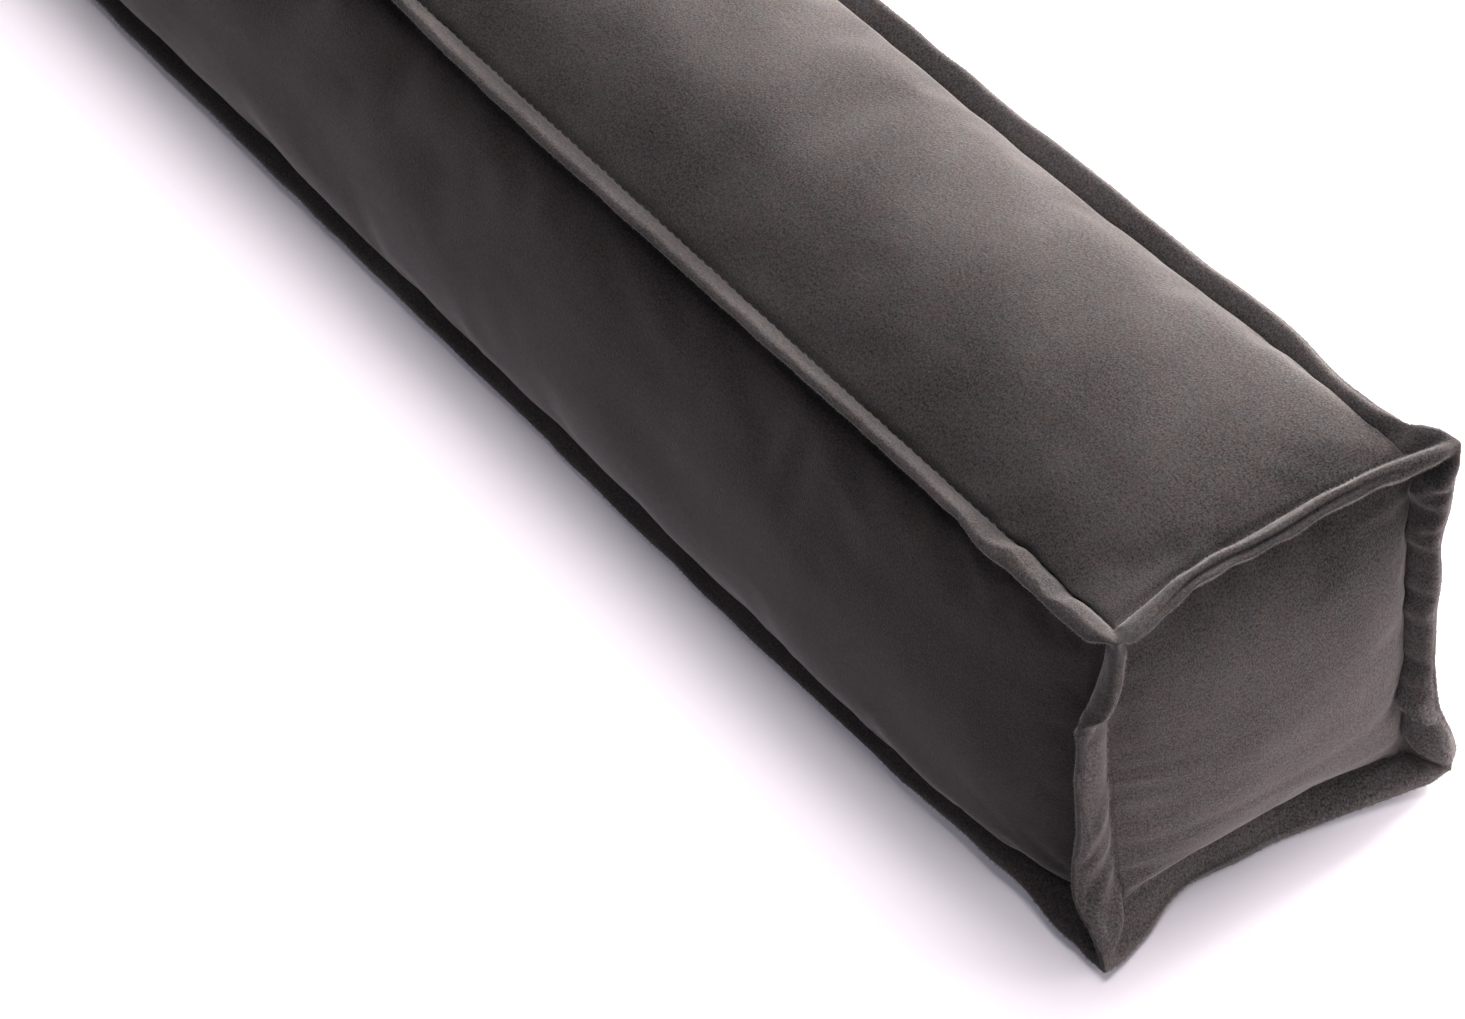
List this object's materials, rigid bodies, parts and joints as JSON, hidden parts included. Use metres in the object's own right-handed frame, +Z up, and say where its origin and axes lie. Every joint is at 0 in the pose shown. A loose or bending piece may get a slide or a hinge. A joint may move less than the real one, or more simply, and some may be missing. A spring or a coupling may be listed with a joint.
{
  "type": "draught excluder",
  "caption": "Long square filled cushion in dark velvet with a topstitched flange along every edge, laid along the foot of a door to stop draughts.",
  "frame": {"origin": "centre of the cushion's box, at the bottom face that lies on the floor", "axes": "+X along the cushion's length towards the end with the folded flange, +Y towards its back, +Z up"},
  "size_m": [0.9052, 0.1332, 0.1209],
  "materials": {
    "velvet": "short-pile velvet in dark taupe grey, matt with a soft sheen at grazing angles"
  },
  "bodies": {
    "root": {"cushion": "velvet"}
  },
  "joints": []
}
